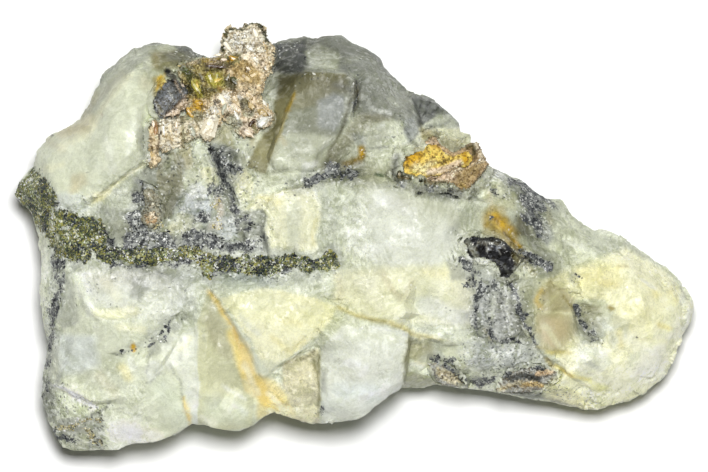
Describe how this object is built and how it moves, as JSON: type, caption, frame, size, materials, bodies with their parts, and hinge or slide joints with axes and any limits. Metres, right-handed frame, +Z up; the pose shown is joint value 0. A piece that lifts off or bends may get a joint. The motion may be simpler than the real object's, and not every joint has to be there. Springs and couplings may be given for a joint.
{
  "type": "silver on calcite specimen",
  "caption": "Broken hand specimen of milky calcite with native silver leaves and crusts, a granular sulphide vein and dark sulphide lumps, lying flat on its back.",
  "frame": {"origin": "middle of the flat back, on the surface that the specimen lies on", "axes": "+X along the length towards the narrow end, +Y towards the edge with the tall silver leaf, +Z up out of the broken face"},
  "size_m": [0.085, 0.0534, 0.0226],
  "materials": {
    "calcite": "satin",
    "silver": "satin",
    "ochre": "matte",
    "sulphide": "gloss"
  },
  "bodies": {
    "root": {"calcite": "calcite", "silver_mass": "silver", "silver_leaf": "silver", "silver_seam_left": "silver", "silver_seam_right": "silver", "silver_grains": "silver", "ochre_crust": "ochre", "sulphide_lump": "sulphide", "sulphide_knob": "sulphide"}
  },
  "joints": []
}
